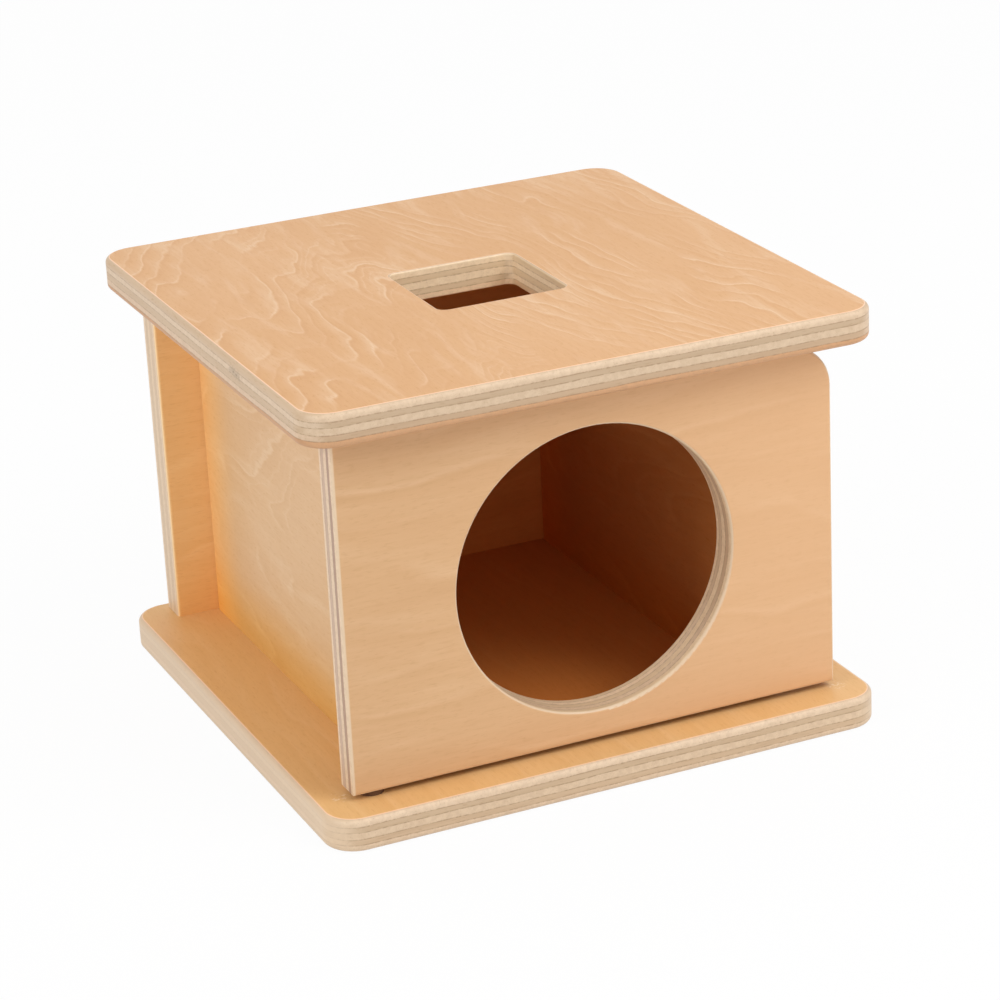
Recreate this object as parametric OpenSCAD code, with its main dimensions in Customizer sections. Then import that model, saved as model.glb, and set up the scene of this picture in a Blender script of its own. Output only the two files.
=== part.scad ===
// Wooden object permanence box for infants.
// A square plywood base and lid are joined by a back panel and two side walls.
// A plywood door with a round opening closes the front. It turns on two hidden
// steel pins near its left end, so its free right end swings out to the front.
// A thing dropped through the square hole in the lid is taken out at the door.
// X runs to the right, Y to the back and Z up. The origin is on the table,
// under the middle of the base.

/* [Box] */
// Width of the base and of the lid, left to right
box_w = 150; // [130:1:200]
// Depth of the base and of the lid, front to back
box_d = 150; // [130:1:200]
// Height from the table to the top of the lid
box_h = 111.4; // [96:0.2:150]
// Thickness of every plywood board
board_t = 8.7; // [8:0.1:11]

/* [Base and lid] */
// Radius of their corners, seen from above
corner_r = 8.5; // [5:0.5:20]
// Radius rolled along their upper and lower edges
roll_r = 1.5; // [0.5:0.1:3]

/* [Walls] */
// Bare strip of base beside the back panel
side_ledge = 10; // [4:0.5:12]
// Bare strip of base behind the back panel
back_ledge = 3; // [2:0.5:12]
// Bare strip of base in front of the door
front_ledge = 9.4; // [4:0.2:16]
// Radius of the eased upright edges of the walls
wall_ease_r = 0.8; // [0.3:0.1:1.5]

/* [Door] */
// Bare strip of base beside each end of the door
door_ledge = 9; // [4:0.1:12]
// Running gap above the door and below it
door_gap = 1.5; // [1.4:0.1:2.2]
// Gap between the closed door and the front edges of the side walls
stop_gap = 0.3; // [0.2:0.1:1]
// Radius of the free upper corner, where a finger pulls the door open
door_corner_r = 11; // [4:0.5:20]
// Radius of the eased edges all round the door and its opening
door_ease_r = 0.8; // [0.3:0.1:0.9]
// Strip of door left below the round opening, where it is narrowest
strip_below = 7.6; // [3:0.1:16]
// Strip of door left above the round opening
strip_above = 9.3; // [3:0.1:16]
// Distance from the middle of the door to the right, to the middle of the opening
opening_right = 0.6; // [0:0.1:3]

/* [Pivot] */
// Distance from the left end of the door to the axis it turns on
pivot_inset = 6; // [5:0.1:8]
// Clearance between the short end behind the axis and the side wall
stub_gap = 0.5; // [0.3:0.1:2]
// Diameter of the two steel pivot pins
pin_d = 4; // [3:0.1:5]
// Length of each pin that reaches into the door
pin_reach = 9; // [6:0.5:12]
// Radial running clearance of a pin in the door
pin_fit = 0.05; // [0.02:0.01:0.08]
// Diameter of the washer that the door rides on
washer_d = 6.6; // [6.4:0.2:8.6]
// Thickness of the washer
washer_t = 1.2; // [0.3:0.1:1.3]
// Radial clearance between the washer and its pin
washer_fit = 0.2; // [0.1:0.05:0.4]

/* [Lid hole] */
// Width of the square hole, left to right
slot_w = 35; // [24:0.1:60]
// Depth of the square hole, front to back
slot_d = 34.2; // [24:0.1:60]
// Distance from the middle of the lid forward to the middle of the hole
slot_forward = 2.5; // [0:0.1:10]
// Radius of the corners of the hole, seen from above
slot_corner_r = 2.4; // [1.5:0.1:6]
// Radius of the eased edges of the hole
slot_ease_r = 0.6; // [0.3:0.1:1.2]

/* [Dowels] */
// Diameter of the glued beech dowels
dowel_d = 5; // [4:0.5:6]
// Length of a dowel
dowel_l = 20; // [16:1:26]
// Depth that dowels and pins are sunk into a board's face
sink_depth = 5.5; // [4:0.1:6.5]
// Radial room for glue around a dowel
glue_gap = 0.05; // [0.02:0.01:0.1]
// Free depth left beyond the end of a dowel or pin
end_room = 0.4; // [0.2:0.1:0.8]

/* [Hidden] */
$fn = 64;
// Every cut runs this far past the surface it opens
overrun = 1;
// Places of the upright dowels along a side wall
wall_dowel_shares = [0.2, 0.8];
// Places of the upright dowels across the back panel, from its middle
back_dowel_shares = [-0.45, 0.45];
// Heights of the level dowels between the side walls and the back panel
level_dowel_shares = [0.35, 0.65];

lid_z = box_h - board_t;
wall_h = lid_z - board_t;
panel_half_w = box_w / 2 - side_ledge;
door_w = box_w - 2 * door_ledge;
wall_inset = 2 * pivot_inset + stub_gap;
wall_mid_x = door_w / 2 - wall_inset - board_t / 2;
back_y = box_d / 2 - back_ledge - board_t / 2;
door_y = -box_d / 2 + front_ledge + board_t / 2;
wall_front_y = door_y + board_t / 2 + stop_gap;
wall_back_y = back_y - board_t / 2;
wall_l = wall_back_y - wall_front_y;
door_h = wall_h - 2 * door_gap;
door_z = board_t + door_gap;
opening_d = door_h - strip_below - strip_above;
pivot_x = -door_w / 2 + pivot_inset;
pin_l = sink_depth + door_gap + pin_reach;
dowel_r = dowel_d / 2;
pin_r = pin_d / 2;

// Half of a board's cross-section: from the middle out to the rolled edge
module edge_section(reach, thick, ease) {
    square([reach - ease, thick]);
    translate([0, ease]) square([reach, thick - 2 * ease]);
    for (level = [ease, thick - ease])
        translate([reach - ease, level]) circle(ease);
}

// A strip with both long edges rolled, lying along Y on the XY plane
module strip(wide, length, thick, ease) {
    translate([0, length / 2, 0]) rotate([90, 0, 0]) linear_extrude(length) {
        edge_section(wide / 2, thick, ease);
        mirror([1, 0]) edge_section(wide / 2, thick, ease);
    }
}

// A round disc with a rolled rim, which makes one corner of a board
module corner_disc(radius, thick, ease) {
    rotate_extrude() edge_section(radius, thick, ease);
}

// A board lying on the XY plane, its corners and all its edges rounded
module board(wide, deep, thick, radius, ease) {
    strip(wide, deep - 2 * radius, thick, ease);
    rotate([0, 0, 90]) strip(deep, wide - 2 * radius, thick, ease);
    for (x = [radius - wide / 2, wide / 2 - radius])
        for (y = [radius - deep / 2, deep / 2 - radius])
            translate([x, y, 0]) corner_disc(radius, thick, ease);
}

// Half of a hole's cross-section: what the cutter takes away, edges included
module rim_section(reach, thick, ease) {
    difference() {
        translate([0, -overrun]) square([reach + ease, thick + 2 * overrun]);
        translate([reach, ease]) square([2 * ease, thick - 2 * ease]);
        for (level = [ease, thick - ease])
            translate([reach + ease, level]) circle(ease);
    }
}

// A cutter strip along Y for a straight-sided hole with eased edges
module rim_strip(wide, length, thick, ease) {
    translate([0, length / 2, 0]) rotate([90, 0, 0]) linear_extrude(length) {
        rim_section(wide / 2, thick, ease);
        mirror([1, 0]) rim_section(wide / 2, thick, ease);
    }
}

// The cutter of a rectangular hole with round corners and eased edges
module hole_cutter(wide, deep, thick, radius, ease) {
    rim_strip(wide, deep - 2 * radius, thick, ease);
    rotate([0, 0, 90]) rim_strip(deep, wide - 2 * radius, thick, ease);
    for (x = [radius - wide / 2, wide / 2 - radius])
        for (y = [radius - deep / 2, deep / 2 - radius])
            translate([x, y, 0]) rotate_extrude() rim_section(radius, thick, ease);
}

// An upright wall board with eased upright edges and square ends
module wall_board(wide, deep, high, ease) {
    linear_extrude(high) {
        square([wide - 2 * ease, deep], center = true);
        square([wide, deep - 2 * ease], center = true);
        for (x = [ease - wide / 2, wide / 2 - ease])
            for (y = [ease - deep / 2, deep / 2 - ease])
                translate([x, y]) circle(ease);
    }
}

// Where the upright dowels stand, seen from above
module at_upright_dowels() {
    for (x = [-wall_mid_x, wall_mid_x])
        for (share = wall_dowel_shares)
            translate([x, wall_front_y + share * wall_l, 0]) children();
    for (share = back_dowel_shares)
        translate([share * panel_half_w, back_y, 0]) children();
}

// Where the level dowels start, on the inner end of their hole in the panel
module at_level_dowels() {
    for (x = [-wall_mid_x, wall_mid_x])
        for (share = level_dowel_shares)
            translate([x, wall_back_y + sink_depth, board_t + share * wall_h])
                rotate([90, 0, 0]) children();
}

// A glued dowel, and the hole it sits in with room for glue and air
module dowel() {
    cylinder(h = dowel_l, r = dowel_r);
}

module dowel_hole() {
    translate([0, 0, -end_room])
        cylinder(h = dowel_l + 2 * end_room, r = dowel_r + glue_gap);
}

// Upright dowels are sunk into the base, and mirrored into the lid
module base_dowel_place() {
    at_upright_dowels() translate([0, 0, board_t - sink_depth]) children();
}

module lid_dowel_place() {
    at_upright_dowels() translate([0, 0, lid_z + sink_depth - dowel_l]) children();
}

// The blind hole that holds a pivot pin in the base or in the lid
module pin_seat() {
    cylinder(h = pin_l + end_room, r = pin_r + glue_gap);
}

module base_board() {
    color("burlywood") difference() {
        board(box_w, box_d, board_t, corner_r, roll_r);
        base_dowel_place() dowel_hole();
        translate([pivot_x, door_y, board_t - sink_depth - end_room]) pin_seat();
    }
}

module lid_board() {
    color("navajowhite") difference() {
        translate([0, 0, lid_z]) board(box_w, box_d, board_t, corner_r, roll_r);
        translate([0, -slot_forward, lid_z])
            hole_cutter(slot_w, slot_d, board_t, slot_corner_r, slot_ease_r);
        lid_dowel_place() dowel_hole();
        translate([pivot_x, door_y, lid_z + sink_depth - pin_l]) pin_seat();
    }
}

module back_panel() {
    color("tan") difference() {
        translate([0, back_y, board_t])
            wall_board(2 * panel_half_w, board_t, wall_h, wall_ease_r);
        base_dowel_place() dowel_hole();
        lid_dowel_place() dowel_hole();
        at_level_dowels() dowel_hole();
    }
}

module side_wall(side) {
    difference() {
        translate([side * wall_mid_x, wall_front_y + wall_l / 2, board_t])
            wall_board(board_t, wall_l, wall_h, wall_ease_r);
        base_dowel_place() dowel_hole();
        lid_dowel_place() dowel_hole();
        at_level_dowels() dowel_hole();
    }
}

module side_wall_left() {
    color("wheat") side_wall(-1);
}

module side_wall_right() {
    color("wheat") side_wall(1);
}

// A board with square corners, all its edges eased and mitred at the corners
module square_board(wide, deep, thick, ease) {
    intersection() {
        strip(wide, deep, thick, ease);
        rotate([0, 0, 90]) strip(deep, wide, thick, ease);
    }
}

// The door lies on the XY plane first, its inner face down and its top at +Y.
// One corner is sawn off square, and a disc with a rolled rim fills it again
module flat_door() {
    corner_cut = door_corner_r + overrun;
    corner_at = [door_w / 2 - door_corner_r, door_h / 2 - door_corner_r, 0];
    difference() {
        union() {
            difference() {
                square_board(door_w, door_h, board_t, door_ease_r);
                translate(corner_at) translate([0, 0, -overrun])
                    cube([corner_cut, corner_cut, board_t + 2 * overrun]);
            }
            translate(corner_at) corner_disc(door_corner_r, board_t, door_ease_r);
        }
        translate([opening_right, (strip_below - strip_above) / 2, 0])
            rotate_extrude() rim_section(opening_d / 2, board_t, door_ease_r);
    }
}

module door_panel() {
    color("peachpuff") difference() {
        translate([0, door_y + board_t / 2, door_z + door_h / 2])
            rotate([90, 0, 0]) flat_door();
        for (low = [door_z - overrun, door_z + door_h - pin_reach - end_room])
            translate([pivot_x, door_y, low])
                cylinder(h = pin_reach + end_room + overrun, r = pin_r + pin_fit);
    }
}

module pivot_pin_lower() {
    color("silver") translate([pivot_x, door_y, board_t - sink_depth])
        cylinder(h = pin_l, r = pin_r);
}

module pivot_pin_upper() {
    color("silver") translate([pivot_x, door_y, lid_z + sink_depth - pin_l])
        cylinder(h = pin_l, r = pin_r);
}

module pivot_washer() {
    color("ivory") translate([pivot_x, door_y, board_t]) difference() {
        cylinder(h = washer_t, r = washer_d / 2);
        translate([0, 0, -overrun])
            cylinder(h = washer_t + 2 * overrun, r = pin_r + washer_fit);
    }
}

module base_dowels() {
    color("peru") base_dowel_place() dowel();
}

module lid_dowels() {
    color("peru") lid_dowel_place() dowel();
}

module back_dowels() {
    color("peru") at_level_dowels() dowel();
}

base_board();
lid_board();
back_panel();
side_wall_left();
side_wall_right();
door_panel();
pivot_pin_lower();
pivot_pin_upper();
pivot_washer();
base_dowels();
lid_dowels();
back_dowels();
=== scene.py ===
# %% [markdown]
# # A plywood object permanence box
#
# The box is a nursery toy: a block goes in through the square hole in the lid,
# drops out of sight, and is found again behind the door with the round opening.
# Its boards are already cut to shape in the CAD model. This lesson dresses them:
# five-ply birch, sanded round at the edges and finished with a satin lacquer.

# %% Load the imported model
import math

import bmesh
import bpy
from mathutils import Matrix, Vector


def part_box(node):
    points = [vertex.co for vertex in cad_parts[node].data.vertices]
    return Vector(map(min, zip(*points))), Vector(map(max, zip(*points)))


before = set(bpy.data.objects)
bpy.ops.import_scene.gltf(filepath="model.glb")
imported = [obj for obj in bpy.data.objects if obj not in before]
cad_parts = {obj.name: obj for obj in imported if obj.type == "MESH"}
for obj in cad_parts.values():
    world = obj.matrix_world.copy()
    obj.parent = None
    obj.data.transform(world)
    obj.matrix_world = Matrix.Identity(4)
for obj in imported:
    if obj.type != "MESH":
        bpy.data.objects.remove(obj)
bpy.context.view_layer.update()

# %% [markdown]
# ## Sizes
#
# The boards' sizes and places come from the model itself, so that the finish
# follows them. Blender works in metres. Wood is easier to think of in millimetres,
# so the patterns below are laid out in millimetres.

# %% Read the boards' sizes
MM_PER_M = 1000.0
PLIES = 5


def box_mm(node):
    """A board's lowest and highest corner, in millimetres."""
    low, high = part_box(node)
    return Vector(low) * MM_PER_M, Vector(high) * MM_PER_M


base_low, base_high = box_mm("base_board")
lid_low, lid_high = box_mm("lid_board")
door_low, door_high = box_mm("door_panel")
back_low, back_high = box_mm("back_panel")
wall_low, wall_high = box_mm("side_wall_left")

board_t = base_high.z - base_low.z
print("boards", round(board_t, 2), "mm thick")

# %% [markdown]
# ## The camera
#
# A product photographer stood a little to the left of the box and above it, with
# a long lens, so that its upright edges stay nearly parallel. The camera was
# found by fitting these few numbers to the edges and corners of the real boards.

# %% Place the camera
CAMERA_AZIMUTH = -23.56
CAMERA_ELEVATION = 21.46
CAMERA_ROLL = -2.84
CAMERA_DISTANCE = 0.8780
CAMERA_TARGET = Vector((0.0045, 0.0, 0.0501))
CAMERA_LENS = 121.7
SENSOR_WIDTH = 36.0
NEAREST_SEEN = 0.01


def toward(azimuth, elevation):
    """The direction from the box to an onlooker. Azimuth 0 stands straight before the door."""
    turn = math.radians(azimuth)
    rise = math.radians(elevation)
    return Vector((math.sin(turn) * math.cos(rise), -math.cos(turn) * math.cos(rise), math.sin(rise)))


def place_camera():
    """Makes the camera that looks at the target from the fitted place."""
    roll = math.radians(CAMERA_ROLL)
    back = toward(CAMERA_AZIMUTH, CAMERA_ELEVATION)
    level = Vector((0.0, 0.0, 1.0)).cross(back).normalized()
    upward = back.cross(level)
    right = level * math.cos(roll) + upward * math.sin(roll)
    up = upward * math.cos(roll) - level * math.sin(roll)
    camera = bpy.data.objects.new("camera", bpy.data.cameras.new("camera"))
    camera.matrix_world = (
        Matrix.Translation(CAMERA_TARGET + back * CAMERA_DISTANCE)
        @ Matrix((right, up, back)).transposed().to_4x4()
    )
    camera.data.lens = CAMERA_LENS
    camera.data.sensor_width = SENSOR_WIDTH
    camera.data.clip_start = NEAREST_SEEN
    bpy.context.scene.collection.objects.link(camera)
    bpy.context.scene.camera = camera
    return camera


camera = place_camera()
print("camera at", tuple(round(v, 3) for v in camera.matrix_world.translation))

# %% [markdown]
# ## Helpers for shader nodes
#
# A shader is a sum written with boxes and wires. The small class below adds one
# box, sets its values and draws its wires in a single call, so that a recipe for
# wood reads like the steps in it.

# %% Colours
BRIGHTEST = 255
TOE_END, TOE_SLOPE = 0.04045, 12.92
CURVE_OFFSET, CURVE_POWER = 0.055, 2.4


def tint(red, green, blue):
    """A colour as a paint card gives it, 0 to 255, turned into Blender's linear values."""
    linear = []
    for level in (red, green, blue):
        share = level / BRIGHTEST
        if share <= TOE_END:
            linear.append(share / TOE_SLOPE)
        else:
            linear.append(((share + CURVE_OFFSET) / (1 + CURVE_OFFSET)) ** CURVE_POWER)
    return (*linear, 1.0)


print("birch in the sun:", tuple(round(v, 3) for v in tint(231, 196, 158)))

# %% [markdown]
# Blender's Mix node has sockets for every kind of value at once. Two of its kinds
# are used here, and each is named by the numbers of its share, its two values and
# its result.

# %% Node helpers
MIX_COLOURS = (0, 6, 7, 2)
MIX_VECTORS = (0, 4, 5, 1)


class Recipe:
    """Adds nodes to a material or a node group, and wires them."""

    def __init__(self, tree):
        self.tree = tree

    def add(self, kind, wires, **settings):
        """One node. wires gives each input a number, a colour or another node's output."""
        node = self.tree.nodes.new(kind)
        for name, value in settings.items():
            setattr(node, name, value)
        for key, value in wires.items():
            if isinstance(value, bpy.types.NodeSocket):
                self.tree.links.new(value, node.inputs[key])
            else:
                node.inputs[key].default_value = value
        return node

    def calc(self, operation, *values):
        """One step of arithmetic."""
        return self.add("ShaderNodeMath", dict(enumerate(values)), operation=operation).outputs[0]

    def plus(self, first, *others):
        for other in others:
            first = self.calc("ADD", first, other)
        return first

    def minus(self, first, second):
        return self.calc("SUBTRACT", first, second)

    def times(self, first, *others):
        for other in others:
            first = self.calc("MULTIPLY", first, other)
        return first

    def size(self, value):
        """The value without its sign."""
        return self.calc("ABSOLUTE", value)

    def vector(self, operation, first, second):
        return self.add("ShaderNodeVectorMath", {0: first, 1: second}, operation=operation).outputs[0]

    def scaled(self, vector, factors):
        return self.vector("MULTIPLY", vector, factors)

    def length(self, vector):
        return self.add("ShaderNodeVectorMath", {0: vector}, operation="LENGTH").outputs["Value"]

    def split(self, vector):
        return self.add("ShaderNodeSeparateXYZ", {0: vector}).outputs

    def merge(self, across, along, through):
        wires = {"X": across, "Y": along, "Z": through}
        return self.add("ShaderNodeCombineXYZ", wires).outputs[0]

    def step(self, value, low, high, start=0.0, end=1.0):
        """A soft step: start where value is at low, end where it is at high."""
        wires = {"Value": value, "From Min": low, "From Max": high, "To Min": start, "To Max": end}
        return self.add("ShaderNodeMapRange", wires, interpolation_type="SMOOTHSTEP").outputs[0]

    def fall(self, value, low, high):
        """A soft step down, from 1 to 0."""
        return self.step(value, low, high, 1.0, 0.0)

    def mix(self, share, first, second, blend="MIX"):
        """The first colour with a share of the second laid over it."""
        share_at, first_at, second_at, result_at = MIX_COLOURS
        wires = {share_at: share, first_at: first, second_at: second}
        return self.add("ShaderNodeMix", wires, data_type="RGBA", blend_type=blend).outputs[result_at]

    def glaze(self, mask, colour, glaze):
        """The colour multiplied by a second one where the mask is 1, for ply tones and for painted light
        and shade.
        """
        return self.mix(mask, colour, glaze, "MULTIPLY")

    def layers(self, colour, coats):
        """Lays coats over the colour in turn. Each is a mask, its share and its paint."""
        for mask, share, paint in coats:
            colour = self.mix(self.times(mask, share), colour, paint)
        return colour

    def between(self, share, first, second):
        """A point between two others."""
        share_at, first_at, second_at, result_at = MIX_VECTORS
        wires = {share_at: share, first_at: first, second_at: second}
        return self.add("ShaderNodeMix", wires, data_type="VECTOR").outputs[result_at]

    def noise(self, spot, detail=2.0, roughness=0.5):
        wires = {"Vector": spot, "Scale": 1.0, "Detail": detail, "Roughness": roughness}
        return self.add("ShaderNodeTexNoise", wires, noise_dimensions="3D").outputs["Fac"]

    def place(self, group, wires):
        """Puts a node group in, and returns its outputs."""
        return self.add("ShaderNodeGroup", wires, node_tree=group).outputs


SOCKETS = {"number": "NodeSocketFloat", "vector": "NodeSocketVector"}
ORIGIN = (0, 0, 0)


def start_group(name, inputs, outputs):
    """A new node group with named sockets. Returns its recipe, its inputs and its outputs."""
    group = bpy.data.node_groups.new(name, "ShaderNodeTree")
    for socket, (kind, value) in inputs.items():
        made = group.interface.new_socket(name=socket, in_out="INPUT", socket_type=SOCKETS[kind])
        made.default_value = value
    for socket in outputs:
        group.interface.new_socket(name=socket, in_out="OUTPUT", socket_type=SOCKETS["number"])
    entry = group.nodes.new("NodeGroupInput")
    result = group.nodes.new("NodeGroupOutput")
    return Recipe(group), entry.outputs, result.inputs


def close_group(recipe, made, results):
    """Wires the results to the group's outputs, and returns the group."""
    for socket, value in results.items():
        recipe.tree.links.new(value, made[socket])
    print("group", recipe.tree.name, "with", len(recipe.tree.nodes), "nodes")
    return recipe.tree


# %% [markdown]
# ## The stack of plies
#
# Plywood is five thin sheets glued with their grain crossed. At a sawn edge they
# show as stripes with a thin dark glue line between them. The first group finds
# out which sheet a point lies in from its depth below the board's outer face. The
# sheets aren't equally thick, and a slow noise bends them a little, as in any
# real board.
#
# A noise texture gives values between 0 and 1, but most of them lie in the
# middle. Stretching that middle over the whole range uses all of the pattern.

# %% Node group: ply stack
# How deep each glue line lies, as a share of the board's thickness.
GLUE_SHARES = (0.225, 0.395, 0.615, 0.785)
GLUE_CORE, GLUE_FADE = 0.05, 0.22
MIDDLE = (0.3, 0.7)
PLY_SWAY = 0.14
SWAY_GRAIN = (0.045, 0.045, 0.2)
DASH_GRAIN = (0.9, 0.9, 0.5)
DASH_STEP = (0.36, 0.6)
DASH_LEAST = 0.25
FAR_AWAY = 9.0


def make_ply_stack():
    """Which sheet a point lies in, whether its grain is crossed, and how near the glue is."""
    recipe, given, made = start_group(
        "Ply Stack",
        {"Spot": ("vector", ORIGIN), "Thickness": ("number", 8.7)},
        ("Ply", "Crossways", "Glue"),
    )
    sway = recipe.noise(recipe.scaled(given["Spot"], SWAY_GRAIN))
    depth = recipe.split(given["Spot"])["Z"]
    depth = recipe.plus(depth, recipe.step(sway, *MIDDLE, -PLY_SWAY, PLY_SWAY))
    ply, nearest = 0.0, FAR_AWAY
    for share in GLUE_SHARES:
        below = recipe.minus(depth, recipe.times(given["Thickness"], share))
        ply = recipe.plus(ply, recipe.calc("GREATER_THAN", below, 0.0))
        nearest = recipe.calc("MINIMUM", nearest, recipe.size(below))
    crossways = recipe.calc("MODULO", ply, 2.0)
    dashes = recipe.noise(recipe.scaled(given["Spot"], DASH_GRAIN), detail=3.0, roughness=0.6)
    broken = recipe.step(dashes, *DASH_STEP, DASH_LEAST, 1.0)
    glue = recipe.times(recipe.fall(nearest, GLUE_CORE, GLUE_FADE), broken)
    return close_group(recipe, made, {"Ply": ply, "Crossways": crossways, "Glue": glue})


ply_stack = make_ply_stack()

# %% [markdown]
# ## The figure of the face veneer
#
# Face veneer is peeled off a log like paper off a roll. The knife cuts the growth
# rings at a very flat angle, so that they open into long flames: arches nested
# one in the other, with steep sides that run along the grain. A map-maker's
# contour lines do the same, and the group works that way. A long ridge with small
# side ridges is cut into levels, and each level starts with a pale streak that
# thins out into a soft tail.
#
# Four waves, from a slow swerve to small kinks, keep the lines from looking
# drawn, and a fifth lets them fade in patches. Chance makes some rings strong and
# some faint. Finer rings nest along the ridge, and wide soft plumes run with the
# grain.

# %% Node group: flame figure
FLAME_WIDTH = 13.0
RIDGE_ROUNDING = 30.0
SHEETS_APART = 7.3
NOISE_SPAN = (0.25, 0.75)
# Each wave: how fast it changes across and along the grain, per mm, and how far it reaches.
SWERVE = (0.03, 0.012, 6.0)
WANDER = (0.045, 0.018, 10.0)
BENDS = (0.13, 0.05, 5.0)
KINKS = (0.45, 0.09, 1.1)
PATCHES = (0.05, 0.02, 1.0)
PATCH_STEP = (-0.4, 0.4)
PATCH_LEAST = 0.12
LINE_RISE = 0.1
TAIL_END = 0.7
WIDE_LINE, WIDE_HALO = 0.27, 0.4
FINE_LINE, FINE_HALO = 0.4, 0.2
FINE_PER_RING = 3.0
CHANCE_STEP = (0.1, 0.9)
FAINTEST = 0.25
LATE_START, LATE_PEAK = 0.7, 0.98
NEST_CORE, NEST_RIM = 8.0, 34.0
PLUME_GRAIN = (0.17, 0.022, 5.1)
PLUME_STEP = (0.48, 0.72)
PLUME_DRIFT = 0.35


def ripple(recipe, spot, wave, detail=1.0):
    """A wave that swings to both sides by its reach, its own on each sheet."""
    across, along, reach = wave
    at = recipe.scaled(spot, (across, along, SHEETS_APART))
    return recipe.step(recipe.noise(at, detail), *NOISE_SPAN, -reach, reach)


def rings(recipe, height, thickness, halo):
    """Cuts the height into levels. Each starts with a pale line, some strong and some faint."""
    level = recipe.calc("FRACT", height)
    number = recipe.calc("FLOOR", height)
    dice = recipe.add("ShaderNodeTexWhiteNoise", {"W": number}, noise_dimensions="1D")
    strength = recipe.step(dice.outputs["Value"], *CHANCE_STEP, FAINTEST, 1.0)
    rise = recipe.step(level, 0.0, LINE_RISE)
    line = recipe.times(rise, recipe.fall(level, LINE_RISE, thickness))
    tail = recipe.times(rise, recipe.times(recipe.fall(level, thickness / 2, TAIL_END), halo))
    return level, recipe.times(recipe.calc("MAXIMUM", line, tail), strength)


def ridge_height(recipe, given, spot, across, wander):
    """How high the ridge with its side ridges stands at a point, counted in rings."""
    long_side = recipe.calc("SQRT", recipe.plus(recipe.times(across, across), RIDGE_ROUNDING))
    teeth = recipe.calc("PINGPONG", across, FLAME_WIDTH)
    bends = ripple(recipe, given["Spot"], BENDS)
    kinks = ripple(recipe, given["Spot"], KINKS, detail=2.0)
    height = recipe.plus(
        spot["Y"],
        recipe.times(long_side, given["Lean"]),
        recipe.times(across, given["Slant"]),
        recipe.times(teeth, given["Side Flames"]),
        recipe.times(recipe.plus(wander, bends, kinks), given["Wiggle"]),
    )
    return recipe.calc("DIVIDE", height, given["Ring Step"])


def make_flame_figure():
    """The pale rings, their late shade, the finer rings between them and the plumes."""
    recipe, given, made = start_group(
        "Flame Figure",
        {
            "Spot": ("vector", ORIGIN),
            "Ridge": ("number", 0.0),
            "Lean": ("number", 2.4),
            "Slant": ("number", 0.0),
            "Ring Step": ("number", 14.0),
            "Side Flames": ("number", 0.8),
            "Wiggle": ("number", 1.0),
        },
        ("Streak", "Shade", "Fine Rings", "Plume"),
    )

    spot = recipe.split(given["Spot"])
    swerve = ripple(recipe, given["Spot"], SWERVE)
    across = recipe.plus(recipe.minus(spot["X"], given["Ridge"]), swerve)
    wander = ripple(recipe, given["Spot"], WANDER)
    height = ridge_height(recipe, given, spot, across, wander)
    level, wide = rings(recipe, height, WIDE_LINE, WIDE_HALO)
    fine = rings(recipe, recipe.times(height, FINE_PER_RING), FINE_LINE, FINE_HALO)[1]

    patches = ripple(recipe, given["Spot"], PATCHES)
    shown = recipe.step(patches, *PATCH_STEP, PATCH_LEAST, 1.0)
    late = recipe.times(recipe.step(level, LATE_START, LATE_PEAK), recipe.fall(level, LATE_PEAK, 1.0))
    nest = recipe.fall(recipe.size(across), NEST_CORE, NEST_RIM)
    drawn = recipe.plus(spot["X"], recipe.times(wander, PLUME_DRIFT))
    drawn = recipe.scaled(recipe.merge(drawn, spot["Y"], spot["Z"]), PLUME_GRAIN)
    plumes = recipe.noise(drawn, detail=3.0, roughness=0.6)
    return close_group(recipe, made, {
        "Streak": recipe.times(wide, shown),
        "Shade": recipe.times(late, shown),
        "Fine Rings": recipe.times(fine, recipe.times(nest, shown)),
        "Plume": recipe.step(plumes, *PLUME_STEP),
    })


flame_figure = make_flame_figure()

# %% [markdown]
# ## Fibres and pores
#
# Close up, birch is full of fine strands along the grain and short dark pores. In
# a crossed ply they lie the other way round. One pattern in space serves both the
# faces and the edges: where the saw cuts along the strands it shows streaks, and
# where it cuts across them it shows the specks of end grain.

# %% Node group: fibres
# Each grain: how fast it changes across the strands and along them, per mm.
PORE_GRAIN = (2.8, 0.4)
FLECK_GRAIN = (1.5, 0.22)
STRAND_GRAIN = (0.75, 0.035)
PORE_STEP = (0.6, 0.72)
FLECK_STEP = (0.56, 0.7)
STRAND_RISE = 0.6
PORE_SINK = 0.5


def make_fibres():
    """The pores, flecks and strands of the wood, and the height that they give it."""
    recipe, given, made = start_group(
        "Fibres",
        {"Spot": ("vector", ORIGIN), "Crossways": ("number", 0.0)},
        ("Pore", "Fleck", "Strand", "Height"),
    )

    def drawn_out(grain):
        """The point, squeezed along the grain of its own ply."""
        fine, slow = grain
        lengthwise = recipe.scaled(given["Spot"], (fine, slow, fine))
        crossed = recipe.scaled(given["Spot"], (slow, fine, fine))
        return recipe.between(given["Crossways"], lengthwise, crossed)

    specks = recipe.noise(drawn_out(PORE_GRAIN), detail=1.0)
    flecks = recipe.noise(drawn_out(FLECK_GRAIN), detail=1.0)
    strands = recipe.noise(drawn_out(STRAND_GRAIN), detail=3.0, roughness=0.6)
    pore = recipe.step(specks, *PORE_STEP)
    raised = recipe.minus(recipe.times(strands, STRAND_RISE), recipe.times(pore, PORE_SINK))
    return close_group(recipe, made, {
        "Pore": pore,
        "Fleck": recipe.step(flecks, *FLECK_STEP),
        "Strand": recipe.step(strands, *MIDDLE),
        "Height": raised,
    })


fibres = make_fibres()
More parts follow.
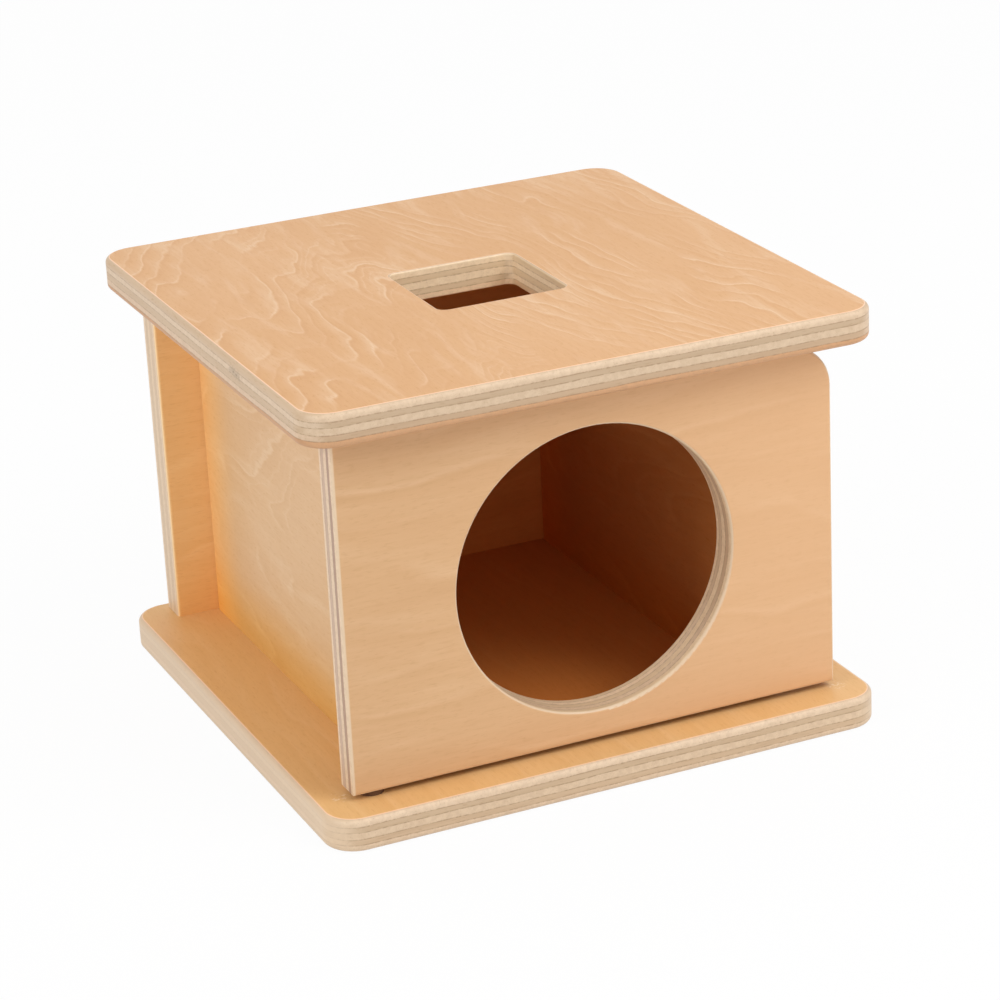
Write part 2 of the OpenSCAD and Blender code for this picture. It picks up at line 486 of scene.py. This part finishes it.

# %% [markdown]
# ## Inside the box
#
# The inner faces get a deeper brown: painted shade, darker than the lamps make
# the inside of the box. The group below marks them by their place, with
# the inner space of the box measured from the boards round it.

# %% Node group: inner faces
# The inner space is taken this much larger, so that the boards' faces lie inside it.
SKIN_DEPTH = 0.5
EDGE_BLUR = 0.4
inside_low = Vector((wall_high.x, door_high.y, base_high.z)) - Vector((SKIN_DEPTH,) * 3)
inside_high = Vector((-wall_high.x, back_low.y, lid_low.z)) + Vector((SKIN_DEPTH,) * 3)


def make_inner_faces():
    """1 for points in the space between two corners, 0 outside it."""
    recipe, given, made = start_group(
        "Inner Faces",
        {"Place": ("vector", ORIGIN), "Low": ("vector", ORIGIN), "High": ("vector", ORIGIN)},
        ("Inside",),
    )
    above = recipe.vector("SUBTRACT", given["Place"], given["Low"])
    below = recipe.vector("SUBTRACT", given["High"], given["Place"])
    room = recipe.split(recipe.vector("MINIMUM", above, below))
    least = recipe.calc("MINIMUM", recipe.calc("MINIMUM", room["X"], room["Y"]), room["Z"])
    return close_group(recipe, made, {"Inside": recipe.step(least, 0.0, EDGE_BLUR)})


inner_faces = make_inner_faces()
print("inner space, mm:", tuple(round(v, 1) for v in inside_high - inside_low))

# %% [markdown]
# ## Painted bounce light in the corners
#
# Where a side wall meets the back panel and the base, the colour is brightened
# and warmed: painted bounce light from the neighbouring board. Beside the panel it
# is yellow, and above the base it is a deeper orange, so the group gives the two strips apart.

# %% Node group: painted bounce light
BOUNCE_REACH = 23.0
PANEL_FRONT = (-0.6, -0.2)
panel_face = back_low.y
base_face = base_high.z


def make_painted_bounce():
    """How near a point is to the back panel's front face and to the base's top."""
    recipe, given, made = start_group(
        "Painted Bounce Light",
        {"Place": ("vector", ORIGIN), "Panel": ("number", 0.0), "Base": ("number", 0.0),
         "Reach": ("number", 20.0)},
        ("Beside Panel", "Above Base"),
    )
    place = recipe.split(given["Place"])
    before_panel = recipe.minus(given["Panel"], place["Y"])
    above_base = recipe.minus(place["Z"], given["Base"])
    in_front = recipe.step(before_panel, *PANEL_FRONT)

    def strip(distance):
        """1 on the plane, 0 at the painted light's reach, and nothing behind the panel's front."""
        near = recipe.fall(recipe.calc("DIVIDE", distance, given["Reach"]), 0.0, 1.0)
        return recipe.times(near, in_front)

    return close_group(recipe, made, {
        "Beside Panel": strip(before_panel),
        "Above Base": strip(above_base),
    })


painted_bounce = make_painted_bounce()
print("amber before y", round(panel_face, 1), "and above z", round(base_face, 1), "mm")

# %% [markdown]
# ## Small marks
#
# Two marks make these boards one box and not any box: a little knot that the saw
# has cut through in the lid's left edge, and scuffs on the base in front of the
# door's two ends, where it has been pulled and pushed.

# %% Node group: knot
KNOT_CENTRE = (lid_low.x, -28.5, lid_high.z - 2.9)
KNOT_REACH = (4.0, 4.4, 1.4)
KNOT_GRAIN = (0.9, 0.9, 1.6)
KNOT_BLUR = 0.3
KNOT_EDGE = (0.6, 1.1)
KNOT_RING = 0.16
RING_LEAST = 0.5
EYE_EDGE = (0.5, 1.1)
FRONT_EYE = ((0, -1.2, -0.1), (2.0, 0.7, 0.4))
REAR_EYE = ((0, 0.7, 0.2), (2.0, 0.6, 0.35))


def make_edge_knot():
    """A small knot with its rings and two dark eyes."""
    recipe, given, made = start_group(
        "Edge Knot",
        {"Place": ("vector", ORIGIN), "Centre": ("vector", ORIGIN)},
        ("Swirl", "Eyes"),
    )

    def closeness(shift, reach):
        """0 in the middle, 1 at the rim of an ellipsoid round the shifted centre."""
        away = recipe.vector("SUBTRACT", given["Place"], given["Centre"])
        away = recipe.vector("SUBTRACT", away, shift)
        return recipe.length(recipe.vector("DIVIDE", away, reach))

    blur = recipe.noise(recipe.scaled(given["Place"], KNOT_GRAIN))
    whole = recipe.plus(closeness(ORIGIN, KNOT_REACH), recipe.step(blur, *MIDDLE, -KNOT_BLUR, KNOT_BLUR))
    ringed = recipe.step(recipe.calc("PINGPONG", whole, KNOT_RING), 0.0, KNOT_RING, RING_LEAST, 1.0)
    front_eye = recipe.fall(closeness(*FRONT_EYE), *EYE_EDGE)
    rear_eye = recipe.fall(closeness(*REAR_EYE), *EYE_EDGE)
    return close_group(recipe, made, {
        "Swirl": recipe.times(recipe.fall(whole, *KNOT_EDGE), ringed),
        "Eyes": recipe.calc("MAXIMUM", front_eye, rear_eye),
    })


edge_knot = make_edge_knot()
print("knot at", tuple(round(v, 1) for v in KNOT_CENTRE), "mm")

# %% Node group: scuffs
SCUFF_CENTRES = ((-67.8, -61.0, base_high.z), (66.5, -65.5, base_high.z))
SCUFF_REACH = 3.4
SCUFF_CORE = 0.4
CRUMB_GRAIN = (0.9, 1.3, 1.0)
CRUMB_STEP = (0.54, 0.64)


def make_scuffs():
    """A crumbly rubbed spot round a centre."""
    recipe, given, made = start_group(
        "Scuffs",
        {"Place": ("vector", ORIGIN), "Centre": ("vector", ORIGIN), "Reach": ("number", 5.0)},
        ("Mark",),
    )
    distance = recipe.length(recipe.vector("SUBTRACT", given["Place"], given["Centre"]))
    near = recipe.fall(recipe.calc("DIVIDE", distance, given["Reach"]), SCUFF_CORE, 1.0)
    crumbs = recipe.noise(recipe.scaled(given["Place"], CRUMB_GRAIN), roughness=0.6)
    return close_group(recipe, made, {"Mark": recipe.times(near, recipe.step(crumbs, *CRUMB_STEP))})


scuffs = make_scuffs()

# %% [markdown]
# ## Where a point lies in its board
#
# Each board uses the same groups with its own grain direction, colours and
# figure. The board's axes are named by a word such as "XYZ": first the axis
# across the grain of its face, then the one along it, then the one through its
# thickness. From these and the surface's own direction the recipe knows whether
# a point is on a face or on a sawn edge.

# %% A board's own view of its points


class Board:
    """What the steps of a board's recipe share: where a point is, and what grows there."""

    def __init__(self, recipe, axes, outer_face, figure, seed):
        across_axis, along_axis, depth_axis = axes
        where = recipe.add("ShaderNodeTexCoord", {}).outputs
        self.place = recipe.scaled(where["Object"], (MM_PER_M,) * 3)
        self.parts = recipe.split(self.place)
        self.turned = recipe.split(where["Normal"])
        self.across = self.parts[across_axis]
        self.along = self.parts[along_axis]
        self.faces_across = recipe.size(self.turned[across_axis])
        self.faces_along = recipe.size(self.turned[along_axis])
        self.facing = recipe.size(self.turned[depth_axis])

        depth = recipe.size(recipe.minus(self.parts[depth_axis], outer_face))
        spot = recipe.merge(self.across, self.along, depth)
        self.plies = recipe.place(ply_stack, {"Spot": spot, "Thickness": board_t})
        side = recipe.calc("ROUND", recipe.calc("DIVIDE", self.plies["Ply"], PLIES - 1.0))
        self.sheet = recipe.merge(self.across, self.along, recipe.plus(side, seed))
        self.flames = recipe.place(flame_figure, {"Spot": self.sheet, **figure})
        self.fibre = recipe.place(fibres, {"Spot": spot, "Crossways": self.plies["Crossways"]})


# %% [markdown]
# ## The face
#
# A face is painted in thin coats, as a grainer would do it: a cloudy ground, soft
# plumes, the pale rings, and then strands, flecks and pores. How vivid the figure
# is differs from board to board. The door's face grows paler to the right, as
# painted light, and the base has its scuffs.

# %% Face veneer
# Painted light: the door's face is paler towards its right end, where more light falls.
PAINTED_LIGHT_TAN = tint(240, 190, 144)
SCUFF_PALE = tint(244, 214, 176)
CLOUD_GRAIN = (0.02, 0.008, 1.7)
PLUME_COAT = 0.4
FINE_COAT = 0.45
SHADE_COAT = 0.25
STREAK_COAT = 0.76
STRAND_COAT = 0.2
PORE_COAT = 0.16
SCUFF_COAT = 0.75


def face_veneer(recipe, board, look):
    """The colour of the sheet that lies on the outside."""
    ground, bright, deep, dark = look["face"]
    vivid = look["vivid"]
    cloud = recipe.noise(recipe.scaled(board.sheet, CLOUD_GRAIN))
    skin = recipe.mix(recipe.step(cloud, *MIDDLE), ground, bright)
    skin = recipe.layers(skin, (
        (board.flames["Plume"], PLUME_COAT * vivid, look["streak"]),
        (board.flames["Fine Rings"], FINE_COAT * vivid, look["streak"]),
        (board.flames["Shade"], SHADE_COAT * vivid, deep),
        (board.flames["Streak"], STREAK_COAT * vivid, look["streak"]),
        (board.fibre["Strand"], STRAND_COAT, deep),
        (board.fibre["Fleck"], look["fleck"], deep),
        (board.fibre["Pore"], PORE_COAT, dark),
    ))
    # Painted light: paler towards the door's right end.
    if look["paler"]:
        rightward = recipe.step(board.parts["X"], door_low.x, door_high.x)
        skin = recipe.layers(skin, ((rightward, look["paler"], PAINTED_LIGHT_TAN),))
    if look["scuffed"]:
        for centre in SCUFF_CENTRES:
            wires = {"Place": board.place, "Centre": centre, "Reach": SCUFF_REACH}
            mark = recipe.place(scuffs, wires)["Mark"]
            skin = recipe.layers(skin, ((mark, SCUFF_COAT, SCUFF_PALE),))
    return skin


print("scuffs on the base:", len(SCUFF_CENTRES))

# %% [markdown]
# ## The sawn edge
#
# At a sawn edge a sheet looks pale where its strands are cut across, and darker
# where they lie along the edge, so the stripes swap round a corner. Each ply has
# its own tone as well, and the darker tone of the lid's bottom ply is painted shade
# on its downward side. The cut walls of an opening are brightened, as painted
# light, and their stripes weaker, and the left and right edges of the base and the
# back panel are quieter than the rest.

# %% Sawn plies
END_GRAIN = tint(232, 207, 178)
LONG_GRAIN = tint(215, 188, 157)
GLUE_BROWN = tint(150, 116, 84)
PORE_BROWN = tint(176, 142, 106)
KNOT_GREY = tint(168, 144, 116)
KNOT_EYE = tint(122, 92, 66)
QUIET_CREAM = tint(222, 197, 167)
EVEN_WHITE = (1.0, 1.0, 1.0, 1.0)
# Painted light: the cut walls of the openings are brightened beyond the wood's own colour, and their ply
# tones evened out.
OPENING_PAINTED_LIGHT = (1.22, 1.24, 1.18, 1.0)
OPENING_EVENNESS = 0.6
CUT_WALL = (0.5, 0.9)
CUT_ACROSS = (0.3, 0.75)
EDGE_STRAND_COAT = 0.22
EDGE_PORE_COAT = 0.28
GLUE_COAT = 0.55
SWIRL_COAT = 0.75
EYE_COAT = 0.5


def opening_walls(recipe, board, opening):
    """1 on the cut walls of an opening, given by its middle and its reach, and 0 elsewhere."""
    middle_across, middle_along, reach = opening
    beside = recipe.size(recipe.minus(board.across, middle_across))
    beyond = recipe.size(recipe.minus(board.along, middle_along))
    near = recipe.calc("LESS_THAN", recipe.calc("MAXIMUM", beside, beyond), reach)
    return recipe.times(near, recipe.fall(board.facing, *CUT_WALL))


def ply_tones(recipe, board, tones):
    """Gives each of the five plies its own tone."""
    ramp = recipe.add("ShaderNodeValToRGB", {0: recipe.calc("DIVIDE", board.plies["Ply"], PLIES)})
    ramp.color_ramp.interpolation = "CONSTANT"
    stops = ramp.color_ramp.elements
    while len(stops) < PLIES:
        stops.new(1.0)
    for number, tone in enumerate(tones):
        stops[number].position = max(0.0, (number - 0.5) / PLIES)
        stops[number].color = tone
    return ramp.outputs[0]


def sawn_edge(recipe, board, look, cut_walls):
    """The colour of the plies where a saw or a cutter has opened them."""
    crossways = board.plies["Crossways"]
    cut_across = recipe.plus(
        recipe.times(board.faces_along, recipe.minus(1.0, crossways)),
        recipe.times(board.faces_across, crossways),
    )
    stripe = recipe.mix(recipe.step(cut_across, *CUT_ACROSS), LONG_GRAIN, END_GRAIN)
    tones = ply_tones(recipe, board, look["tones"])
    if look["opening"]:
        tones = recipe.layers(tones, ((cut_walls, OPENING_EVENNESS, EVEN_WHITE),))
    stripe = recipe.glaze(1.0, stripe, tones)
    stripe = recipe.layers(stripe, (
        (board.fibre["Strand"], EDGE_STRAND_COAT, PORE_BROWN),
        (board.fibre["Pore"], EDGE_PORE_COAT, PORE_BROWN),
        (board.plies["Glue"], GLUE_COAT, GLUE_BROWN),
    ))
    if look["quiet"]:
        sideways = recipe.size(board.turned["X"])
        stripe = recipe.layers(stripe, ((sideways, look["quiet"], QUIET_CREAM),))
    # Painted light on the cut walls of an opening.
    if look["opening"]:
        stripe = recipe.glaze(cut_walls, stripe, OPENING_PAINTED_LIGHT)
    if look["knotted"]:
        knot = recipe.place(edge_knot, {"Place": board.place, "Centre": KNOT_CENTRE})
        stripe = recipe.layers(stripe, (
            (knot["Swirl"], SWIRL_COAT, KNOT_GREY),
            (knot["Eyes"], EYE_COAT, KNOT_EYE),
        ))
    return stripe


print("an edge has", PLIES, "plies and", len(GLUE_SHARES), "glue lines")

# %% [markdown]
# ## One recipe for every board
#
# Face and edge meet at the arris, the sanded line between them, which has a pale
# colour of its own with a painted highlight. Over all of it come painted bounce
# light in the corners and painted shade on the inside. The shader itself is one
# Principled BSDF: satin lacquer on wood.

# %% Plywood material
# The arris colour is partly its pale sanded line and partly a painted highlight.
SANDED_ARRIS_AND_HIGHLIGHT = tint(248, 208, 176)
ARRIS_COAT = 0.85
# Painted shade: the inner faces of the box are darkened to this brown.
PAINTED_INNER_SHADE = tint(232, 179, 127)
# Two glazes each of painted bounce light: one beside the back panel, one above the base.
WALL_BOUNCE_GLAZES = ((1.24, 1.12, 0.84, 1.0), (1.02, 0.86, 0.46, 1.0))
PANEL_BOUNCE_GLAZES = ((1.3, 1.3, 1.14, 1.0), (1.0, 0.95, 0.85, 1.0))
LACQUER_ROUGHNESS = 0.42
PORE_ROUGHNESS = 0.12
INNER_ROUGHNESS = 0.25
GRAIN_STRENGTH = 0.25
GRAIN_RELIEF = 0.00006  # metres
WOOD_SPECULAR = 0.25
COAT = 0.06
CUT_WALL_COAT = 0.4
COAT_ROUGHNESS = 0.28
# The arris comes in between its first two numbers and goes out between its last two.
# They tell how squarely the surface faces the board's front: 0 on an edge, 1 on a face.
PLAIN_LOOK = {
    "fleck": 0.2,
    "vivid": 1.0,
    "paler": 0.0,
    "quiet": 0.0,
    "arris": (0.4, 0.6, 0.75, 0.9),
    "arris_glow": SANDED_ARRIS_AND_HIGHLIGHT,
    "glazes": None,
    "opening": None,
    "knotted": False,
    "scuffed": False,
}


def board_colour(recipe, board, look, cut_walls, hidden):
    """Face and edge, the arris between them, and the painted light and shade over all of it."""
    rise_from, rise_to, fall_from, fall_to = look["arris"]
    skin = face_veneer(recipe, board, look)
    stripe = sawn_edge(recipe, board, look, cut_walls)
    colour = recipe.mix(recipe.step(board.facing, rise_to, fall_from), stripe, skin)
    arris = recipe.times(
        recipe.step(board.facing, rise_from, rise_to),
        recipe.fall(board.facing, fall_from, fall_to),
    )
    # The arris: its sanded colour with a painted highlight.
    colour = recipe.layers(colour, ((arris, ARRIS_COAT, look["arris_glow"]),))
    # Painted bounce light: the colour is brightened and warmed beside the back panel and above the base.
    if look["glazes"]:
        beside_panel, above_base = look["glazes"]
        wires = {"Place": board.place, "Panel": panel_face, "Base": base_face, "Reach": BOUNCE_REACH}
        corner = recipe.place(painted_bounce, wires)
        colour = recipe.glaze(corner["Beside Panel"], colour, beside_panel)
        colour = recipe.glaze(corner["Above Base"], colour, above_base)
    # Painted shade on the inner faces.
    return recipe.glaze(hidden, colour, PAINTED_INNER_SHADE)


def plywood(name, axes, outer_face, figure, seed, **own_look):
    """Five-ply birch. axes says which way its grain runs, outer_face where its depth starts."""
    look = {**PLAIN_LOOK, **own_look}
    material = bpy.data.materials.new(name)
    material.use_nodes = True
    recipe = Recipe(material.node_tree)
    shader = material.node_tree.nodes["Principled BSDF"]
    links = material.node_tree.links
    board = Board(recipe, axes, outer_face, figure, seed)
    cut_walls = opening_walls(recipe, board, look["opening"]) if look["opening"] else None
    inner_space = {"Place": board.place, "Low": inside_low, "High": inside_high}
    hidden = recipe.place(inner_faces, inner_space)["Inside"]

    rough = recipe.plus(recipe.times(board.fibre["Pore"], PORE_ROUGHNESS), LACQUER_ROUGHNESS)
    rough = recipe.plus(rough, recipe.times(hidden, INNER_ROUGHNESS))
    relief = {"Strength": GRAIN_STRENGTH, "Distance": GRAIN_RELIEF, "Height": board.fibre["Height"]}
    bump = recipe.add("ShaderNodeBump", relief)
    links.new(board_colour(recipe, board, look, cut_walls, hidden), shader.inputs["Base Color"])
    links.new(rough, shader.inputs["Roughness"])
    links.new(bump.outputs[0], shader.inputs["Normal"])
    shader.inputs["Specular IOR Level"].default_value = WOOD_SPECULAR
    shader.inputs["Coat Weight"].default_value = COAT
    if look["opening"]:
        links.new(recipe.step(cut_walls, 0.0, 1.0, COAT, CUT_WALL_COAT), shader.inputs["Coat Weight"])
    shader.inputs["Coat Roughness"].default_value = COAT_ROUGHNESS
    return material


def dress(node, material):
    """Gives a CAD piece its finish."""
    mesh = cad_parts[node].data
    if not mesh.materials:
        mesh.materials.append(material)
    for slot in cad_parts[node].material_slots:
        slot.material = material
    print("dressed", node, "in", material.name)


# %% [markdown]
# ## The lid and the base
#
# Both are the same square board, with the grain from front to back. The lid shows
# the liveliest flames, the base a straighter and warmer face, its extra warmth
# partly painted bounce light from the door and walls.

# %% Dress the lid and the base
WHITE_TONES = (tint(255, 255, 255), tint(250, 250, 248), tint(250, 249, 246),
               tint(252, 250, 247), tint(254, 252, 250))
# The last tone, of the lid's bottom ply, is darker: painted shade on the ply that faces down.
LID_TONES = (tint(247, 245, 243), tint(240, 239, 238), tint(242, 240, 237),
             tint(238, 232, 228), tint(234, 202, 176))
ROLLED_ARRIS = (0.90, 0.94, 0.96, 0.99)
# An opening's middle across and along the grain, and how far from it its walls count, in mm.
LID_HOLE = (0.0, -2.5, 22.0)

lid_ply = plywood(
    "lid_ply", "XYZ", lid_high.z, seed=0.0,
    figure={"Ridge": -15.0, "Lean": 3.3, "Slant": 1.3, "Ring Step": 17.0, "Side Flames": 0.9},
    face=(tint(213, 162, 109), tint(218, 169, 119), tint(203, 145, 91), tint(182, 130, 87)),
    streak=tint(231, 196, 158), tones=LID_TONES, arris=ROLLED_ARRIS, opening=LID_HOLE, knotted=True,
)
# The base's warmer face colours are partly painted bounce light.
base_ply = plywood(
    "base_ply", "XYZ", base_high.z, seed=11.0,
    figure={"Ridge": -160.0, "Lean": 9.0, "Ring Step": 90.0, "Side Flames": 0.0, "Wiggle": 1.6},
    face=(tint(228, 181, 121), tint(232, 187, 128), tint(214, 164, 104), tint(189, 135, 86)),
    streak=tint(236, 198, 148), tones=WHITE_TONES, vivid=0.4, quiet=0.75,
    arris=ROLLED_ARRIS, scuffed=True,
)
dress("lid_board", lid_ply)
dress("base_board", base_ply)

# %% [markdown]
# ## The walls and the door
#
# The side walls carry arches that lie on their side, pointing back. The door's
# grain is level too, but tight and quiet, with soft pale plumes and fine flecks.

# %% Dress the walls and the door
WALL_FACE = (tint(216, 176, 131), tint(221, 183, 138), tint(205, 161, 112), tint(181, 133, 89))
WALL_STREAK = tint(231, 202, 166)
# Cream arris colour: partly the sanded line, partly a painted highlight.
CREAM_ARRIS_AND_HIGHLIGHT = tint(230, 205, 174)
DOOR_TONES = (tint(252, 250, 246), tint(206, 191, 196), tint(248, 246, 244),
              tint(238, 232, 242), tint(254, 252, 250))
DOOR_ARRIS = (0.3, 0.45, 0.8, 0.98)
DOOR_OPENING = (54.85, 0.6, 39.5)


def wall_plywood(name, outer_face, figure, seed):
    """The two side walls come from the same sheet."""
    # The wall glazes are painted bounce light in the corners.
    return plywood(
        name, "ZYX", outer_face, figure, seed, face=WALL_FACE, streak=WALL_STREAK,
        tones=WHITE_TONES, vivid=0.7, arris_glow=CREAM_ARRIS_AND_HIGHLIGHT, glazes=WALL_BOUNCE_GLAZES,
    )


wall_ply = wall_plywood(
    "wall_ply", wall_low.x, seed=23.0,
    figure={"Ridge": 58.0, "Lean": 2.6, "Ring Step": 29.0, "Side Flames": 0.7},
)
wall_ply_right = wall_plywood(
    "wall_ply_right", -wall_low.x, seed=31.0,
    figure={"Ridge": 42.0, "Lean": 3.0, "Ring Step": 30.0, "Side Flames": 0.5, "Wiggle": 0.7},
)
# The panel glazes are painted bounce light on its front face between the walls.
back_ply = plywood(
    "back_ply", "ZXY", back_high.y, seed=41.0,
    figure={"Ridge": 70.0, "Lean": 4.0, "Ring Step": 36.0, "Side Flames": 0.5, "Wiggle": 0.7},
    face=(tint(219, 179, 132), tint(224, 185, 139), tint(208, 163, 113), tint(184, 135, 91)),
    streak=tint(231, 200, 160), tones=WHITE_TONES, vivid=0.5, quiet=0.3,
    arris_glow=CREAM_ARRIS_AND_HIGHLIGHT, glazes=PANEL_BOUNCE_GLAZES,
)
# The door's face is painted paler to the right, as painted light.
door_ply = plywood(
    "door_ply", "ZXY", door_low.y, seed=53.0,
    figure={"Ridge": -150.0, "Lean": 12.0, "Ring Step": 150.0, "Side Flames": 0.0, "Wiggle": 1.8},
    face=(tint(216, 172, 127), tint(221, 179, 134), tint(202, 155, 108), tint(181, 131, 88)),
    streak=tint(228, 190, 148), tones=DOOR_TONES, fleck=0.22, vivid=0.75, paler=0.45,
    arris=DOOR_ARRIS, arris_glow=CREAM_ARRIS_AND_HIGHLIGHT, opening=DOOR_OPENING,
)
dress("side_wall_left", wall_ply)
dress("side_wall_right", wall_ply_right)
dress("back_panel", back_ply)
dress("door_panel", door_ply)

# %% [markdown]
# ## Pins, washer and dowels
#
# They sit inside the boards and between them. At rest only the dark washer shows
# a little, under the left end of the door, where its dark brown, partly painted
# shade, merges into the shadow.

# %% Dress the small parts
BEECH, BEECH_DEEP = tint(206, 162, 118), tint(178, 130, 88)
STEEL, STEEL_DEEP = tint(196, 197, 200), tint(160, 161, 165)
# The washer's dark brown is partly painted shade, to merge into the shadow under the door.
NYLON, NYLON_DEEP = tint(106, 72, 48), tint(88, 59, 40)
# Each set of lines: how fast it changes along X, Y and Z, per mm.
UPRIGHT_STRANDS = (1.6, 1.6, 0.12)
LEVEL_STRANDS = (1.6, 0.12, 1.6)
TURNED_LINES = (0.2, 0.2, 3.0)
MOULDED_SPECKS = (0.8, 0.8, 0.8)
BEECH_ROUGHNESS = 0.55
STEEL_ROUGHNESS = 0.3
NYLON_ROUGHNESS = 0.45
LINE_ROUGHNESS = 0.12
LINE_STRENGTH = 0.2
LINE_RELIEF = 0.00003  # metres


def small_part(name, colour, deep, stretch, roughness, metallic=0.0):
    """A turned or moulded part: fine lines or specks over a plain colour."""
    material = bpy.data.materials.new(name)
    material.use_nodes = True
    recipe = Recipe(material.node_tree)
    shader = material.node_tree.nodes["Principled BSDF"]
    where = recipe.add("ShaderNodeTexCoord", {}).outputs
    squeezed = recipe.scaled(where["Object"], tuple(v * MM_PER_M for v in stretch))
    lines = recipe.noise(squeezed, detail=3.0, roughness=0.6)
    mark = recipe.step(lines, *MIDDLE)
    rough = recipe.plus(recipe.times(mark, LINE_ROUGHNESS), roughness)
    relief = {"Strength": LINE_STRENGTH, "Distance": LINE_RELIEF, "Height": lines}
    bump = recipe.add("ShaderNodeBump", relief)
    links = material.node_tree.links
    links.new(recipe.mix(mark, colour, deep), shader.inputs["Base Color"])
    links.new(rough, shader.inputs["Roughness"])
    links.new(bump.outputs[0], shader.inputs["Normal"])
    shader.inputs["Metallic"].default_value = metallic
    return material


beech_upright = small_part("dowel_beech", BEECH, BEECH_DEEP, UPRIGHT_STRANDS, BEECH_ROUGHNESS)
beech_level = small_part("dowel_beech_level", BEECH, BEECH_DEEP, LEVEL_STRANDS, BEECH_ROUGHNESS)
pin_steel = small_part("pin_steel", STEEL, STEEL_DEEP, TURNED_LINES, STEEL_ROUGHNESS, metallic=1.0)
washer_nylon = small_part("washer_nylon", NYLON, NYLON_DEEP, MOULDED_SPECKS, NYLON_ROUGHNESS)
for node in ("base_dowels", "lid_dowels"):
    dress(node, beech_upright)
dress("back_dowels", beech_level)
for node in ("pivot_pin_lower", "pivot_pin_upper"):
    dress(node, pin_steel)
dress("pivot_washer", washer_nylon)

# %% [markdown]
# ## Floor, sky and lamps
#
# A light table: a pale floor and a pale sky, with big soft lamps. To the camera
# the floor glows almost white, as a seamless sheet of paper does, but it still
# takes a faint shadow of the box.

# %% Floor and sky
FLOOR_SIZE = 6.0
FLOOR_SEGMENTS = 64
FLOOR_GREY = (0.86, 0.86, 0.86, 1.0)
FLOOR_ROUGHNESS = 0.9
FLOOR_GLOW = 0.95
SKY_LEVEL = 0.56
PAPER_WHITE = (1, 1, 1, 1)


def seen_directly(recipe):
    """1 for rays from the camera and for those sent on by a shine or a clear thing, else 0."""
    path = recipe.add("ShaderNodeLightPath", {}).outputs
    straight = recipe.calc("MAXIMUM", path["Is Camera Ray"], path["Is Glossy Ray"])
    return recipe.calc("MAXIMUM", straight, path["Is Transmission Ray"])


def make_floor():
    """A round sheet of pale paper under the box."""
    mesh = bpy.data.meshes.new("floor")
    shape = bmesh.new()
    bmesh.ops.create_circle(shape, cap_ends=True, segments=FLOOR_SEGMENTS, radius=FLOOR_SIZE / 2)
    shape.to_mesh(mesh)
    shape.free()
    floor = bpy.data.objects.new("floor", mesh)
    bpy.context.scene.collection.objects.link(floor)
    material = bpy.data.materials.new("floor_paper")
    material.use_nodes = True
    tree = material.node_tree
    recipe = Recipe(tree)
    shader = tree.nodes["Principled BSDF"]
    shader.inputs["Base Color"].default_value = FLOOR_GREY
    shader.inputs["Roughness"].default_value = FLOOR_ROUGHNESS
    shader.inputs["Specular IOR Level"].default_value = 0.0
    glowing = recipe.times(seen_directly(recipe), FLOOR_GLOW)
    glow = recipe.add("ShaderNodeEmission", {"Color": PAPER_WHITE, "Strength": 1.0})
    wires = {0: glowing, 1: shader.outputs[0], 2: glow.outputs[0]}
    mixed = recipe.add("ShaderNodeMixShader", wires)
    tree.links.new(mixed.outputs[0], tree.nodes["Material Output"].inputs["Surface"])
    mesh.materials.append(material)


def make_sky():
    """A sky that looks white but lights the box only gently."""
    world = bpy.data.worlds.new("sky")
    world.use_nodes = True
    bpy.context.scene.world = world
    recipe = Recipe(world.node_tree)
    background = world.node_tree.nodes["Background"]
    strength = recipe.step(seen_directly(recipe), 0.0, 1.0, SKY_LEVEL, 1.0)
    world.node_tree.links.new(strength, background.inputs["Strength"])
    background.inputs["Color"].default_value = PAPER_WHITE


make_floor()
make_sky()
print("floor", FLOOR_SIZE, "m across, sky at", SKY_LEVEL)

# %% [markdown]
# The key lamp stands before the door, to its right and above it. The top lamp
# stands high behind the box and lights the lid, and the side lamp lights the left
# wall.

# %% Lamps
LAMP_TARGET = Vector((0, 0, 0.05))


def lamp(name, azimuth, elevation, distance, size, power):
    """A square soft lamp that faces the middle of the box."""
    back = toward(azimuth, elevation)
    data = bpy.data.lights.new(name, "AREA")
    data.shape = "SQUARE"
    data.size = size
    data.energy = power
    made = bpy.data.objects.new(name, data)
    made.location = LAMP_TARGET + back * distance
    made.rotation_mode = "QUATERNION"
    made.rotation_quaternion = back.to_track_quat("Z", "Y")
    bpy.context.scene.collection.objects.link(made)


lamp("key_lamp", azimuth=38, elevation=44, distance=0.95, size=0.56, power=4.1)
lamp("top_lamp", azimuth=170, elevation=66, distance=1.8, size=1.2, power=4.0)
lamp("side_lamp", azimuth=-80, elevation=28, distance=1.7, size=1.0, power=10.0)
bpy.context.scene.view_settings.view_transform = "Standard"
